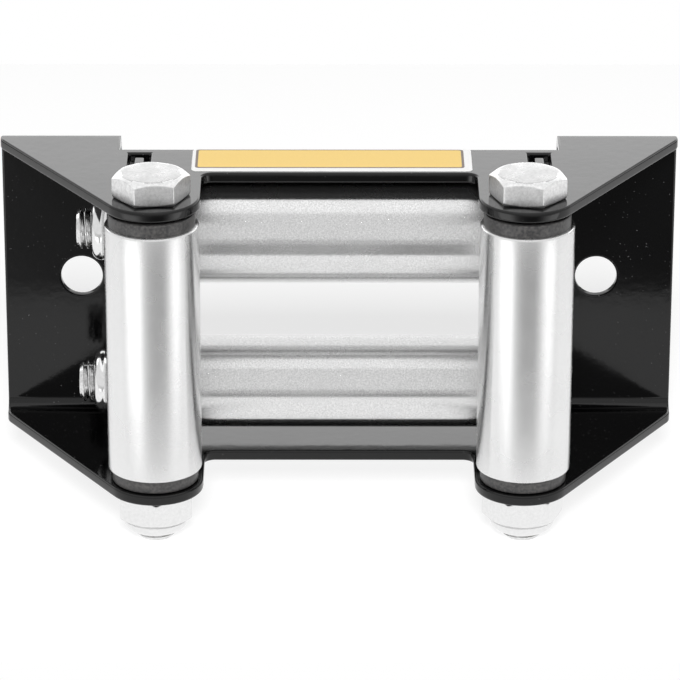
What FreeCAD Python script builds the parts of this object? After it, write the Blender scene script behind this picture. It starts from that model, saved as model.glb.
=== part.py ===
import FreeCAD
import Part
import Sketcher
import math
import os

# Roller fairlead: a folded sheet bracket that carries two upright and two level rollers round a
# cable window.  Millimetres.  The origin lies on the bracket's rear face, midway between the two
# mounting holes; +X runs to the right seen from the cable's side, +Y to the rear and +Z up.

SIZES = [
    ("sheet_thickness", 2.5, "folded sheet of the bracket"),
    ("bend_radius", 2.5, "inside radius of every bend"),
    ("inside_height", 68, "between the two flanges"),
    ("mount_spacing", 124, "between the mounting holes"),
    ("mount_hole", 10, "mounting hole diameter"),
    ("side_margin", 18.5, "mounting hole axis to the bracket's side edge"),
    ("upright_spacing", 86.4, "between the upright rollers' axes"),
    ("level_reach", 21, "rear face to the level rollers' axes"),
    ("rollers_gap", 0.4, "upper level roller to upright rollers"),
    ("flange_gap", 1.45, "upper level roller to the upper flange"),
    ("tip_radius", 11.3, "flange tip round an upright bolt"),
    ("side_land", 6.5, "straight side of a flange before its slanting edge"),
    ("corner_round", 4, "flange corner between side and slanting edge"),
    ("recess_lead", 9, "flanges' front edge between the tips, ahead of the level axes"),
    ("recess_round", 2.5, "inner corner of that recess"),
    ("window_lag", 7.5, "flanges' rear edge over the window, behind the level axes"),
    ("ear_span", 91.4, "between the inner faces of the ears"),
    ("ear_lead", 10.5, "ears' front edge, ahead of the level axes"),
    ("ear_round", 4, "front corners of an ear"),
    ("ear_end_gap", 3, "ear end to flange"),
    ("relief_width", 1.2, "bend relief in the flange, past the root of an ear"),
    ("tab_width", 6, "locating tab on an ear's end, front to back"),
    ("tab_depth", 0.4, "tab end below the flange's outer face"),
    ("slot_side_gap", 1.35, "tab to each side of its slot"),
    ("slot_end_gap", 1.75, "tab to each end of its slot"),
    ("bolt_diameter", 10, "thread size of all four axle bolts"),
    ("bolt_hole_play", 0.5, "bolt hole diameter over bolt diameter"),
    ("upright_thread_end", 2, "upright bolt past its nut"),
    ("level_thread_end", 3.6, "level bolt past its nut"),
    ("bolt_end_chamfer", 1, "at the thread end"),
    ("head_flats", 15.8, "bolt head across flats"),
    ("head_height", 5.7, "bolt head"),
    ("head_chamfer_step", 0.5, "flat of a head to the round edge of its top face"),
    ("nut_flats", 17, "lock nut across flats"),
    ("nut_hex_height", 7, "hexagon of a lock nut"),
    ("nut_chamfer_step", 0.4, "flat of a nut to the round edge of its end face"),
    ("collar_height", 3, "collar of a lock nut, past its hexagon"),
    ("collar_step", 0.8, "flat of a nut to the side of its collar"),
    ("collar_round", 2.1, "rolled edge of the collar"),
    ("collar_lip", 0.7, "rolled lip over the nylon insert"),
    ("mouth_play", 1.1, "collar opening over bolt diameter"),
    ("insert_wall", 1.5, "nylon insert, across its ring"),
    ("insert_height", 2.3, "nylon insert"),
    ("roller_diameter", 22, "upright rollers and lower level roller"),
    ("upper_diameter", 26, "upper level roller, the thickest"),
    ("roller_wall", 3, "roller tubes"),
    ("roller_chamfer", 0.5, "end edge of a roller tube"),
    ("rim_step", 0.9, "roller skin to bushing rim"),
    ("rim_thickness", 3, "bushing rim"),
    ("rim_chamfer", 0.3, "outer edge of a bushing rim"),
    ("sleeve_length", 12, "bushing sleeve inside the tube"),
    ("running_clearance", 0.05, "bushing to bolt, on the radius"),
    ("upright_end_play", 1.2, "upright roller and bushings between the flanges"),
    ("upright_seat_gap", 0.1, "upright roller's lower rim to the lower flange"),
    ("level_end_play", 1, "level roller and bushings between the ears"),
]

# How far each hexagon is turned about its own bolt, in degrees.
HEAD_TURNS = {"left": 7, "right": -10, "upper": 12, "lower": -4}
NUT_TURNS = {"left": -33, "right": -7, "upper": 28, "lower": 22}

# Lengths that only have to pass through the sheet or reach past the outline.
BEYOND = 10
HEX_CHAMFER = "tan(30 deg)"

doc = FreeCAD.newDocument("roller_fairlead")
sheet = doc.addObject("Spreadsheet::Sheet", "Sizes")
for row, (alias, size, note) in enumerate(SIZES, start=1):
    sheet.set("A%d" % row, alias)
    sheet.set("B%d" % row, str(size))
    sheet.set("C%d" % row, note)
    sheet.setAlias("B%d" % row, alias)
doc.recompute()

# Formulas that several pieces share.
HALF_WIDTH = "(Sizes.mount_spacing / 2 + Sizes.side_margin)"
HALF_HEIGHT = "Sizes.inside_height / 2"
FLANGE_FACE = "(Sizes.inside_height / 2 + Sizes.sheet_thickness)"
BEND_DEPTH = "(Sizes.sheet_thickness + Sizes.bend_radius)"
UPRIGHT_X = "Sizes.upright_spacing / 2"
UPRIGHT_REACH = "(Sizes.level_reach + (Sizes.upper_diameter + Sizes.roller_diameter) / 2 + Sizes.rollers_gap)"
TIP_FRONT = "(%s + Sizes.tip_radius)" % UPRIGHT_REACH
RECESS_REACH = "(Sizes.level_reach + Sizes.recess_lead)"
LEVEL_Z = "(Sizes.inside_height / 2 - Sizes.flange_gap - Sizes.upper_diameter / 2)"
EAR_IN = "Sizes.ear_span / 2"
EAR_OUT = "(Sizes.ear_span / 2 + Sizes.sheet_thickness)"
EAR_BEND = "(Sizes.ear_span / 2 + %s)" % BEND_DEPTH
EAR_REACH = "(Sizes.level_reach + Sizes.ear_lead)"
WINDOW_REACH = "(Sizes.level_reach - Sizes.window_lag)"
EAR_END = "(Sizes.inside_height / 2 - Sizes.ear_end_gap)"
TAB_HEIGHT = "(Sizes.inside_height + 2 * (Sizes.sheet_thickness - Sizes.tab_depth))"
BOLT_HOLE = "(Sizes.bolt_diameter + Sizes.bolt_hole_play)"
BOLT_SKIN = "Sizes.bolt_diameter / 2"
BUSHING_BORE = "(Sizes.bolt_diameter / 2 + Sizes.running_clearance)"
ROLLER_SKIN, UPPER_SKIN = "Sizes.roller_diameter / 2", "Sizes.upper_diameter / 2"
NUT_HEIGHT = "(Sizes.nut_hex_height + Sizes.collar_height)"
INSERT_TOP = "(%s - Sizes.collar_lip)" % NUT_HEIGHT
INSERT_FOOT = "(%s - Sizes.insert_height)" % INSERT_TOP
INSERT_SKIN = "(Sizes.bolt_diameter / 2 + Sizes.insert_wall)"
UPRIGHT_LENGTH = "(Sizes.inside_height - 2 * Sizes.rim_thickness - Sizes.upright_end_play)"
UPRIGHT_FOOT = "(-Sizes.inside_height / 2 + Sizes.upright_seat_gap + Sizes.rim_thickness)"
UPRIGHT_BOLT = "(2 * %s + %s + Sizes.upright_thread_end)" % (FLANGE_FACE, NUT_HEIGHT)
LEVEL_LENGTH = "(Sizes.ear_span - 2 * Sizes.rim_thickness - Sizes.level_end_play)"
LEVEL_BOLT = "(2 * %s + %s + Sizes.level_thread_end)" % (EAR_OUT, NUT_HEIGHT)


def number(holder, formula):
    """The value of a formula in the sheet's names."""
    return float(holder.evalExpression(str(formula)))


def new_body(label):
    body = doc.addObject("PartDesign::Body", label)
    body.Label = label
    return body


def origin_plane(body, role):
    return [item for item in body.Origin.OriginFeatures if item.Role == role][0]


def new_sketch(body, role, name):
    sketch = body.newObject("Sketcher::SketchObject", name)
    sketch.AttachmentSupport = [(origin_plane(body, role), "")]
    sketch.MapMode = "FlatFace"
    return sketch


def bind(sketch, constraint, formula):
    """Add a dimension and tie it to a formula."""
    index = sketch.addConstraint(constraint)
    sketch.setExpression("Constraints[%d]" % index, str(formula))


def pin_point(sketch, geometry, point, x, y):
    """Hold a point at formulas for its two coordinates."""
    bind(sketch, Sketcher.Constraint("DistanceX", geometry, point, number(sketch, x)), x)
    bind(sketch, Sketcher.Constraint("DistanceY", geometry, point, number(sketch, y)), y)


def add_line(sketch, start, end):
    return sketch.addGeometry(Part.LineSegment(FreeCAD.Vector(*start, 0), FreeCAD.Vector(*end, 0)))


def add_arc(sketch, centre, radius, start, end):
    circle = Part.Circle(FreeCAD.Vector(*centre, 0), FreeCAD.Vector(0, 0, 1), radius)
    return sketch.addGeometry(Part.ArcOfCircle(circle, start, end))


def join(sketch, first, first_point, second, second_point):
    sketch.addConstraint(Sketcher.Constraint("Coincident", first, first_point, second, second_point))


def touch(sketch, first, first_point, second, second_point):
    """Join two ends so that the outline runs on smoothly."""
    sketch.addConstraint(Sketcher.Constraint("Tangent", first, first_point, second, second_point))


def rounding(before, corner, after, radius):
    """Where an arc of that radius leaves and meets the two runs at a corner, and its centre."""
    ways = []
    for end in (before, after):
        length = math.dist(end, corner)
        ways.append(((end[0] - corner[0]) / length, (end[1] - corner[1]) / length))
    half_turn = math.acos(ways[0][0] * ways[1][0] + ways[0][1] * ways[1][1]) / 2
    setback = radius / math.tan(half_turn)
    ends = [(corner[0] + way[0] * setback, corner[1] + way[1] * setback) for way in ways]
    middle = (ways[0][0] + ways[1][0], ways[0][1] + ways[1][1])
    reach = radius / math.sin(half_turn) / math.hypot(*middle)
    centre = (corner[0] + middle[0] * reach, corner[1] + middle[1] * reach)
    turns_left = ways[0][0] * ways[1][1] - ways[0][1] * ways[1][0] < 0
    return ends, centre, turns_left


def round_corner(sketch, before, after, corner, radius, trimmed):
    """Join two trimmed lines by a tangent arc, and hold their corner as a bound point."""
    ends, centre, turns_left = trimmed
    angles = [math.atan2(end[1] - centre[1], end[0] - centre[0]) for end in ends]
    if not turns_left:
        angles.reverse()
    arc = add_arc(sketch, centre, number(sketch, radius), *angles)
    first, last = (1, 2) if turns_left else (2, 1)
    touch(sketch, before, 2, arc, first)
    touch(sketch, arc, last, after, 1)
    mark = FreeCAD.Vector(*[number(sketch, formula) for formula in corner], 0)
    mark = sketch.addGeometry(Part.Point(mark), True)
    pin_point(sketch, mark, 1, *corner)
    for line in (before, after):
        sketch.addConstraint(Sketcher.Constraint("PointOnObject", mark, 1, line))
    bind(sketch, Sketcher.Constraint("Radius", arc, number(sketch, radius)), radius)


def outline(body, role, name, corners):
    """A closed outline of straight runs; a corner with a third formula is rounded to that radius."""
    sketch = new_sketch(body, role, name)
    places = [tuple(number(sketch, formula) for formula in corner[:2]) for corner in corners]
    count = len(corners)
    trims = {}
    for i, corner in enumerate(corners):
        if len(corner) == 3:
            radius = number(sketch, corner[2])
            trims[i] = rounding(places[i - 1], places[i], places[(i + 1) % count], radius)
    lines = []
    for i in range(count):
        after = (i + 1) % count
        start = trims[i][0][1] if i in trims else places[i]
        end = trims[after][0][0] if after in trims else places[after]
        lines.append(add_line(sketch, start, end))
    for i, corner in enumerate(corners):
        if i in trims:
            round_corner(sketch, lines[i - 1], lines[i], corner[:2], corner[2], trims[i])
        else:
            join(sketch, lines[i - 1], 2, lines[i], 1)
            pin_point(sketch, lines[i], 1, *corner)
    return sketch


def rectangle(body, role, name, low, high):
    corners = [low, (high[0], low[1]), high, (low[0], high[1])]
    return outline(body, role, name, corners)


def circles(body, role, name, centres, diameter):
    sketch = new_sketch(body, role, name)
    for x, y in centres:
        centre = FreeCAD.Vector(number(sketch, x), number(sketch, y), 0)
        size = number(sketch, diameter)
        ring = sketch.addGeometry(Part.Circle(centre, FreeCAD.Vector(0, 0, 1), size / 2))
        pin_point(sketch, ring, 3, x, y)
        bind(sketch, Sketcher.Constraint("Diameter", ring, size), diameter)
    return sketch


def pad(body, sketch, length, both_ways=True):
    feature = body.newObject("PartDesign::Pad", sketch.Name + "_pad")
    feature.Profile = sketch
    feature.SideType = "Symmetric" if both_ways else "One side"
    feature.setExpression("Length", str(length))
    doc.recompute()
    return feature


def cut_through(body, sketch, length=None):
    """Cut the outline to both sides of its plane, through the whole piece or to a length in all."""
    before = body.Shape.Volume
    feature = body.newObject("PartDesign::Pocket", sketch.Name + "_cut")
    feature.Profile = sketch
    feature.SideType = "Symmetric"
    if length is None:
        feature.Type = "ThroughAll"
    else:
        feature.setExpression("Length", length)
    doc.recompute()
    if body.Shape.Volume >= before:
        raise RuntimeError("%s removes nothing" % feature.Name)
    return feature


def turned(body, sketch, kind="Revolution"):
    """Turn an outline about the piece's own Z axis, to add material or, as a Groove, to cut it."""
    before = body.Shape.Volume if kind == "Groove" else None
    feature = body.newObject("PartDesign::" + kind, sketch.Name + "_turned")
    feature.Profile = sketch
    feature.ReferenceAxis = (sketch, ["V_Axis"])
    feature.Angle = 360
    doc.recompute()
    if before is not None and body.Shape.Volume >= before:
        raise RuntimeError("%s removes nothing" % feature.Name)
    return feature


def hexagon(body, name, flats, height):
    """A hexagon standing on the XY plane, with one flat facing -Y."""
    feature = body.newObject("PartDesign::AdditivePrism", name)
    feature.Polygon = 6
    feature.setExpression("Circumradius", "%s / sqrt(3)" % flats)
    feature.setExpression("Height", height)
    doc.recompute()
    return feature


def chamfer_hexagon(body, name, flats, step, level, way):
    """Turn the corners of a hexagon's end down; way is - for its upper end, + for its lower."""
    crown, clear = "(%s / 2 - %s)" % (flats, step), "(%s / sqrt(3) + %d)" % (flats, BEYOND)
    corners = [
        (crown, level),
        (clear, level),
        (clear, "%s %s (%s - %s) * %s" % (level, way, clear, crown, HEX_CHAMFER)),
    ]
    turned(body, outline(body, "XZ_Plane", name, corners), "Groove")


def edges_at(shape, along, **place):
    """Names of the straight edges along one axis whose middle has the given coordinates."""
    names = []
    for index, edge in enumerate(shape.Edges, start=1):
        box = edge.BoundBox
        extent = {"x": box.XLength, "y": box.YLength, "z": box.ZLength}
        middle = {"x": box.Center.x, "y": box.Center.y, "z": box.Center.z}
        straight = all(extent[axis] < 1e-4 for axis in extent if axis != along)
        if straight and all(abs(middle[axis] - place[axis]) < 1e-3 for axis in place):
            names.append("Edge%d" % index)
    return names


def fillet(body, name, edges, radius):
    if not edges:
        raise RuntimeError("%s finds no edges" % name)
    base = body.Tip
    feature = body.newObject("PartDesign::Fillet", name)
    feature.Base = (base, edges)
    feature.setExpression("Radius", radius)
    doc.recompute()
    return feature


def channel(body):
    """The sheet folded to a channel: web at the rear, a flange above and one below."""
    front = "-" + TIP_FRONT
    outer = "Sizes.bend_radius + Sizes.sheet_thickness"
    sketch = outline(body, "YZ_Plane", "channel", [
        (front, FLANGE_FACE),
        (front, HALF_HEIGHT),
        ("-Sizes.sheet_thickness", HALF_HEIGHT, "Sizes.bend_radius"),
        ("-Sizes.sheet_thickness", "-" + HALF_HEIGHT, "Sizes.bend_radius"),
        (front, "-" + HALF_HEIGHT),
        (front, "-" + FLANGE_FACE),
        ("0", "-" + FLANGE_FACE, outer),
        ("0", FLANGE_FACE, outer),
    ])
    pad(body, sketch, HALF_WIDTH, both_ways=False)


def flange_front(body):
    """Cut the flanges' plan: recess, tip round the upright bolt, and slanting edge."""
    sketch = new_sketch(body, "XY_Plane", "flange_front")
    bolt = [number(sketch, UPRIGHT_X), -number(sketch, UPRIGHT_REACH)]
    radius = number(sketch, "Sizes.tip_radius")
    recess = -number(sketch, RECESS_REACH)
    land = [number(sketch, HALF_WIDTH), -number(sketch, "Sizes.side_land")]
    past_side = "%s + %d" % (HALF_WIDTH, BEYOND)
    past_front = "-(%s + %d)" % (TIP_FRONT, BEYOND)
    away = [number(sketch, past_side), number(sketch, past_front)]
    to_land = math.atan2(land[1] - bolt[1], land[0] - bolt[0])
    lean = to_land - math.acos(radius / math.hypot(land[0] - bolt[0], land[1] - bolt[1]))
    inner = (bolt[0] - radius, bolt[1])
    outer = (bolt[0] + radius * math.cos(lean), bolt[1] + radius * math.sin(lean))
    edge = add_line(sketch, (0, recess), (inner[0], recess))
    side = add_line(sketch, (inner[0], recess), inner)
    tip = add_arc(sketch, bolt, radius, math.pi, 2 * math.pi + lean)
    slant = add_line(sketch, outer, land)
    shelf = add_line(sketch, land, (away[0], land[1]))
    right = add_line(sketch, (away[0], land[1]), away)
    front = add_line(sketch, away, (0, away[1]))
    left = add_line(sketch, (0, away[1]), (0, recess))
    join(sketch, edge, 2, side, 1)
    touch(sketch, side, 2, tip, 1)
    touch(sketch, tip, 2, slant, 1)
    for first, second in ((slant, shelf), (shelf, right), (right, front), (front, left), (left, edge)):
        join(sketch, first, 2, second, 1)
    for line in (edge, shelf, front):
        sketch.addConstraint(Sketcher.Constraint("Horizontal", line))
    for line in (side, right):
        sketch.addConstraint(Sketcher.Constraint("Vertical", line))
    pin_point(sketch, tip, 3, UPRIGHT_X, "-" + UPRIGHT_REACH)
    bind(sketch, Sketcher.Constraint("Radius", tip, radius), "Sizes.tip_radius")
    pin_point(sketch, shelf, 1, HALF_WIDTH, "-Sizes.side_land")
    pin_point(sketch, front, 1, past_side, past_front)
    pin_point(sketch, edge, 1, "0", "-" + RECESS_REACH)
    bind(sketch, Sketcher.Constraint("DistanceX", front, 2, 0), "0")
    cut_through(body, sketch)
    corner = edges_at(body.Shape, "z", x=inner[0], y=recess)
    fillet(body, "recess_corner", corner, "Sizes.recess_round")
    corner = edges_at(body.Shape, "z", x=land[0], y=land[1])
    fillet(body, "side_corner", corner, "Sizes.corner_round")


def ear(body):
    """The ear folded forward out of the window, with its two locating tabs and axle holes."""
    sketch = new_sketch(body, "XY_Plane", "ear")
    bend = [number(sketch, EAR_BEND), -number(sketch, BEND_DEPTH)]
    outer, inner = number(sketch, BEND_DEPTH), number(sketch, "Sizes.bend_radius")
    front = -number(sketch, EAR_REACH)
    rear_arc = add_arc(sketch, bend, outer, math.pi / 2, math.pi)
    inside = add_line(sketch, (bend[0] - outer, bend[1]), (bend[0] - outer, front))
    end = add_line(sketch, (bend[0] - outer, front), (bend[0] - inner, front))
    outside = add_line(sketch, (bend[0] - inner, front), (bend[0] - inner, bend[1]))
    front_arc = add_arc(sketch, bend, inner, math.pi / 2, math.pi)
    root = add_line(sketch, (bend[0], bend[1] + inner), (bend[0], bend[1] + outer))
    touch(sketch, rear_arc, 2, inside, 1)
    join(sketch, inside, 2, end, 1)
    join(sketch, end, 2, outside, 1)
    touch(sketch, outside, 2, front_arc, 2)
    join(sketch, front_arc, 1, root, 1)
    join(sketch, root, 2, rear_arc, 1)
    sketch.addConstraint(Sketcher.Constraint("Vertical", root))
    sketch.addConstraint(Sketcher.Constraint("Horizontal", end))
    join(sketch, front_arc, 3, rear_arc, 3)
    pin_point(sketch, rear_arc, 3, EAR_BEND, "-" + BEND_DEPTH)
    bind(sketch, Sketcher.Constraint("Radius", rear_arc, outer), BEND_DEPTH)
    bind(sketch, Sketcher.Constraint("Radius", front_arc, inner), "Sizes.bend_radius")
    bind(sketch, Sketcher.Constraint("DistanceX", root, 2, bend[0]), EAR_BEND)
    bind(sketch, Sketcher.Constraint("DistanceX", end, 1, bend[0] - outer), EAR_IN)
    bind(sketch, Sketcher.Constraint("DistanceY", end, 1, front), "-" + EAR_REACH)
    pad(body, sketch, "2 * " + EAR_END)
    corner = edges_at(body.Shape, "x", y=front)
    fillet(body, "ear_corner", corner, "Sizes.ear_round")
    tab = rectangle(body, "XY_Plane", "tab",
                    (EAR_IN, "-(Sizes.level_reach + Sizes.tab_width / 2)"),
                    (EAR_OUT, "-(Sizes.level_reach - Sizes.tab_width / 2)"))
    pad(body, tab, TAB_HEIGHT)
    axle_holes = circles(body, "YZ_Plane", "axle_holes", [
        ("-Sizes.level_reach", LEVEL_Z),
        ("-Sizes.level_reach", "-" + LEVEL_Z),
    ], BOLT_HOLE)
    cut_through(body, axle_holes)


def bracket():
    """Half of the folded bracket, mirrored about the middle plane."""
    body = new_body("bracket")
    channel(body)
    flange_front(body)
    window = rectangle(body, "XY_Plane", "window",
                       ("-%d" % BEYOND, "-" + WINDOW_REACH), (EAR_BEND, str(BEYOND)))
    cut_through(body, window)
    for end, sign in (("upper", ""), ("lower", "-")):
        relief = rectangle(body, "XZ_Plane", end + "_relief",
                           (EAR_IN, sign + EAR_END),
                           (EAR_BEND + " + Sizes.relief_width", "%s(%s + %d)" % (sign, FLANGE_FACE, BEYOND)))
        cut_through(body, relief, "2 * " + WINDOW_REACH)
    half_slot = "Sizes.tab_width / 2 + Sizes.slot_end_gap"
    slot = rectangle(body, "XY_Plane", "tab_slot",
                     ("%s - Sizes.slot_side_gap" % EAR_IN, "-(Sizes.level_reach + %s)" % half_slot),
                     ("%s + Sizes.slot_side_gap" % EAR_OUT, "-(Sizes.level_reach - (%s))" % half_slot))
    cut_through(body, slot)
    cut_through(body, circles(body, "XY_Plane", "upright_bolt_hole",
                              [(UPRIGHT_X, "-" + UPRIGHT_REACH)], BOLT_HOLE))
    cut_through(body, circles(body, "XZ_Plane", "mounting_hole",
                              [("Sizes.mount_spacing / 2", "0")], "Sizes.mount_hole"))
    ear(body)
    mirrored = body.newObject("PartDesign::Mirrored", "other_half")
    mirrored.MirrorPlane = (origin_plane(body, "YZ_Plane"), [""])
    mirrored.TransformMode = "Whole shape"
    body.Tip = mirrored
    doc.recompute()
    return body


def roller(label, skin, length):
    """A plain tube with chamfered end edges, centred on its own origin."""
    body = new_body(label)
    bore, edge = "%s - Sizes.roller_wall" % skin, "%s - Sizes.roller_chamfer" % skin
    end, land = "%s / 2" % length, "(%s / 2 - Sizes.roller_chamfer)" % length
    turned(body, outline(body, "XZ_Plane", "tube", [
        (bore, "-" + end),
        (edge, "-" + end),
        (skin, "-" + land),
        (skin, land),
        (edge, end),
        (bore, end),
    ]))
    return body


def bushing(label, skin):
    """A flanged bushing: its sleeve rises into the tube, its rim lies below the tube's end."""
    body = new_body(label)
    rim, sleeve = "(%s - Sizes.rim_step)" % skin, "%s - Sizes.roller_wall" % skin
    turned(body, outline(body, "XZ_Plane", "section", [
        (BUSHING_BORE, "-Sizes.rim_thickness"),
        ("%s - Sizes.rim_chamfer" % rim, "-Sizes.rim_thickness"),
        (rim, "Sizes.rim_chamfer - Sizes.rim_thickness"),
        (rim, "0"),
        (sleeve, "0"),
        (sleeve, "Sizes.sleeve_length"),
        (BUSHING_BORE, "Sizes.sleeve_length"),
    ]))
    return body


def bolt(label, length):
    """A hexagon bolt: the head stands on the origin plane and the shank hangs below it."""
    body = new_body(label)
    hexagon(body, "head", "Sizes.head_flats", "Sizes.head_height")
    chamfer_hexagon(body, "head_chamfer", "Sizes.head_flats", "Sizes.head_chamfer_step",
                    "Sizes.head_height", "-")
    turned(body, outline(body, "XZ_Plane", "shank", [
        ("0", "0"),
        ("0", "-" + length),
        ("%s - Sizes.bolt_end_chamfer" % BOLT_SKIN, "-" + length),
        (BOLT_SKIN, "Sizes.bolt_end_chamfer - " + length),
        (BOLT_SKIN, "0"),
    ]))
    return body


def lock_nut(label):
    """A lock nut seated on its origin plane, with the rolled collar at its upper end."""
    body = new_body(label)
    hexagon(body, "hexagon", "Sizes.nut_flats", "Sizes.nut_hex_height")
    chamfer_hexagon(body, "seat_chamfer", "Sizes.nut_flats", "Sizes.nut_chamfer_step", "0", "+")
    chamfer_hexagon(body, "collar_chamfer", "Sizes.nut_flats", "Sizes.nut_chamfer_step",
                    "Sizes.nut_hex_height", "-")
    collar = "(Sizes.nut_flats / 2 - Sizes.collar_step)"
    turned(body, outline(body, "XZ_Plane", "collar", [
        ("0", "0"),
        (INSERT_SKIN, "0"),
        (collar, INSERT_FOOT),
        (collar, NUT_HEIGHT, "Sizes.collar_round"),
        ("0", NUT_HEIGHT),
    ]))
    mouth = "(Sizes.bolt_diameter / 2 + Sizes.mouth_play / 2)"
    turned(body, outline(body, "XZ_Plane", "thread_and_seat", [
        ("0", "0"),
        (BOLT_SKIN, "0"),
        (BOLT_SKIN, INSERT_FOOT),
        (INSERT_SKIN, INSERT_FOOT),
        (INSERT_SKIN, INSERT_TOP),
        (mouth, INSERT_TOP),
        (mouth, NUT_HEIGHT),
        ("0", NUT_HEIGHT),
    ]), "Groove")
    return body


def nut_insert(label):
    """The nylon ring that the collar holds, in the nut's own frame."""
    body = new_body(label)
    corners = [(BOLT_SKIN, INSERT_FOOT), (INSERT_SKIN, INSERT_FOOT),
               (INSERT_SKIN, INSERT_TOP), (BOLT_SKIN, INSERT_TOP)]
    turned(body, outline(body, "XZ_Plane", "ring", corners))
    return body


UP = FreeCAD.Rotation()
DOWN = FreeCAD.Rotation(FreeCAD.Vector(1, 0, 0), 180)
TO_RIGHT = FreeCAD.Rotation(FreeCAD.Vector(0, 1, 0), 90)
TO_LEFT = FreeCAD.Rotation(FreeCAD.Vector(0, 1, 0), -90)


def place(body, x, y, z, way, turn=0):
    """Turn a piece about its own axis, point that axis the given way and bind its place."""
    about_itself = FreeCAD.Rotation(FreeCAD.Vector(0, 0, 1), turn)
    body.Placement = FreeCAD.Placement(FreeCAD.Vector(), way.multiply(about_itself))
    for axis, formula in (("x", x), ("y", y), ("z", z)):
        body.setExpression("Placement.Base." + axis, formula)
    pieces.append(body)


pieces = [bracket()]

for side, sign in (("left", "-"), ("right", "")):
    x, y = sign + UPRIGHT_X, "-" + UPRIGHT_REACH
    head_seat, nut_seat = FLANGE_FACE, "-" + FLANGE_FACE
    foot, top = UPRIGHT_FOOT, "%s + %s" % (UPRIGHT_FOOT, UPRIGHT_LENGTH)
    middle = "%s + %s / 2" % (UPRIGHT_FOOT, UPRIGHT_LENGTH)
    place(roller("vertical_roller_" + side, ROLLER_SKIN, UPRIGHT_LENGTH), x, y, middle, UP)
    place(bushing("vertical_bushing_%s_lower" % side, ROLLER_SKIN), x, y, foot, UP)
    place(bushing("vertical_bushing_%s_upper" % side, ROLLER_SKIN), x, y, top, DOWN)
    place(bolt("vertical_bolt_" + side, UPRIGHT_BOLT),
          x, y, head_seat, UP, HEAD_TURNS[side])
    place(lock_nut("vertical_lock_nut_" + side), x, y, nut_seat, DOWN, NUT_TURNS[side])
    place(nut_insert("vertical_nut_insert_" + side), x, y, nut_seat, DOWN)

for level, sign, skin in (("upper", "", UPPER_SKIN), ("lower", "-", ROLLER_SKIN)):
    y, z = "-Sizes.level_reach", sign + LEVEL_Z
    head_seat, nut_seat = EAR_OUT, "-" + EAR_OUT
    left, right = "-%s / 2" % LEVEL_LENGTH, "%s / 2" % LEVEL_LENGTH
    place(roller("horizontal_roller_" + level, skin, LEVEL_LENGTH), "0", y, z, TO_RIGHT)
    place(bushing("horizontal_bushing_%s_left" % level, skin), left, y, z, TO_RIGHT)
    place(bushing("horizontal_bushing_%s_right" % level, skin), right, y, z, TO_LEFT)
    place(bolt("horizontal_bolt_" + level, LEVEL_BOLT),
          head_seat, y, z, TO_RIGHT, HEAD_TURNS[level])
    place(lock_nut("horizontal_lock_nut_" + level), nut_seat, y, z, TO_LEFT, NUT_TURNS[level])
    place(nut_insert("horizontal_nut_insert_" + level), nut_seat, y, z, TO_LEFT)

doc.recompute()
for item in doc.Objects:
    if "Invalid" in item.State or "Error" in item.State:
        raise RuntimeError("%s did not compute" % item.Name)
for piece in pieces:
    if piece.Shape.isNull() or not piece.Shape.isValid() or len(piece.Shape.Solids) != 1:
        raise RuntimeError("%s is not one sound solid" % piece.Label)

os.makedirs("parts", exist_ok=True)
for piece in pieces:
    piece.Shape.exportStep("parts/%s.step" % piece.Label)
    print("%-32s %10.1f mm3" % (piece.Label, piece.Shape.Volume))
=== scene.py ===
import math

import bmesh
import bpy
import numpy as np
from mathutils import Matrix, Vector


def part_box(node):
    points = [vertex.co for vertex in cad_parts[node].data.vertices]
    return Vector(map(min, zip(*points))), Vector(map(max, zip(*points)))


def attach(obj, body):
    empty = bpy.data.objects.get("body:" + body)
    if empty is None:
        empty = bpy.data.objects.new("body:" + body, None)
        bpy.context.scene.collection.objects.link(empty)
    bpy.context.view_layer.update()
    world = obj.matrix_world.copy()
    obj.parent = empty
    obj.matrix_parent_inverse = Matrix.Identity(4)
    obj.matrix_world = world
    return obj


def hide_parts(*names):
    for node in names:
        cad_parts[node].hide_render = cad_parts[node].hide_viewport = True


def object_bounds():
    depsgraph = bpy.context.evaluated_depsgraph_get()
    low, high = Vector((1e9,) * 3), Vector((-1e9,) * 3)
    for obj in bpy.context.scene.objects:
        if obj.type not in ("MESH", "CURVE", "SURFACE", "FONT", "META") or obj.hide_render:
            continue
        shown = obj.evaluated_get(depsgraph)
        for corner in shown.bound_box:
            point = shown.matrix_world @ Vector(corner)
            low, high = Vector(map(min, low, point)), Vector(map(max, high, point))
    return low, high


# The roller fairlead's looks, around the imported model.  Lengths are written in millimetres and
# MM turns them into Blender's metres.  The axes are the model's own: +X to the right seen from the
# cable's side, +Y to the rear, +Z up, with the origin between the mounting holes on the rear face.

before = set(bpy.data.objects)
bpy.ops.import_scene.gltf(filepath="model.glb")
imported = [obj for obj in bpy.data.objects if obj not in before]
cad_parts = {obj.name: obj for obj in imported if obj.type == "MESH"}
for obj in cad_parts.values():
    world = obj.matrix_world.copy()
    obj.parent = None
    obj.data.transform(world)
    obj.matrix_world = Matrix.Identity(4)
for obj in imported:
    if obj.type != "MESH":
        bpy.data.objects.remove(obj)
cad_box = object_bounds()
MM = 0.001
UP, DOWN = Matrix.Identity(4), Matrix.Rotation(math.pi, 4, "X")
TO_RIGHT, TO_LEFT = Matrix.Rotation(math.pi / 2, 4, "Y"), Matrix.Rotation(-math.pi / 2, 4, "Y")

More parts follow.
